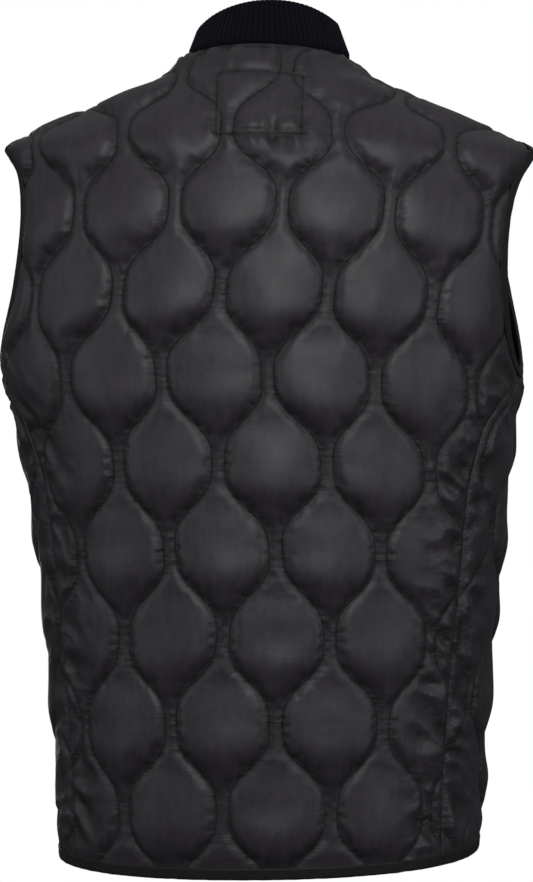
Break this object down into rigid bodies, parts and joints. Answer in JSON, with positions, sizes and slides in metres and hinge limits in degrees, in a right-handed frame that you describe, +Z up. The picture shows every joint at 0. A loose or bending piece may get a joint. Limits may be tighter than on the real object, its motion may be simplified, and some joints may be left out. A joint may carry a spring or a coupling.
{
  "type": "quilted vest",
  "caption": "Sleeveless quilted satin vest filled out as worn, with onion quilting, bound armholes and hem, a rib knit stand collar and a front zip.",
  "frame": {"origin": "middle of the neck's base, level with the sides of the neck seam, where the wearer's shoulders hold the vest up", "axes": "+Z up, +X the wearer's left, the front faces -Y"},
  "size_m": [0.4654, 0.3048, 0.7382],
  "materials": {
    "satin": "satin-faced nylon, padded",
    "rib_knit": "matt rib knit",
    "binding": "folded satin tape",
    "zip_tape": "woven tape",
    "zip_metal": "dark coated metal"
  },
  "bodies": {
    "vest": {"back_panel": "satin", "front_left": "satin", "front_right": "satin", "armhole_binding_left": "binding", "armhole_binding_right": "binding", "hem_binding": "binding", "collar": "rib_knit", "zip_tape_left": "zip_tape", "zip_tape_right": "zip_tape", "zip_chain": "zip_metal", "zip_box": "zip_metal", "zip_slider": "zip_metal"},
    "pull_tab": {"pull_tab": "zip_metal"}
  },
  "joints": [
    {"name": "pull_tab_swing", "type": "hinge", "parent": "vest", "child": "pull_tab", "pos_m": [0, -0.081, -0.04966], "axis": [-1, 0, 0], "range_deg": [0, 150]}
  ]
}
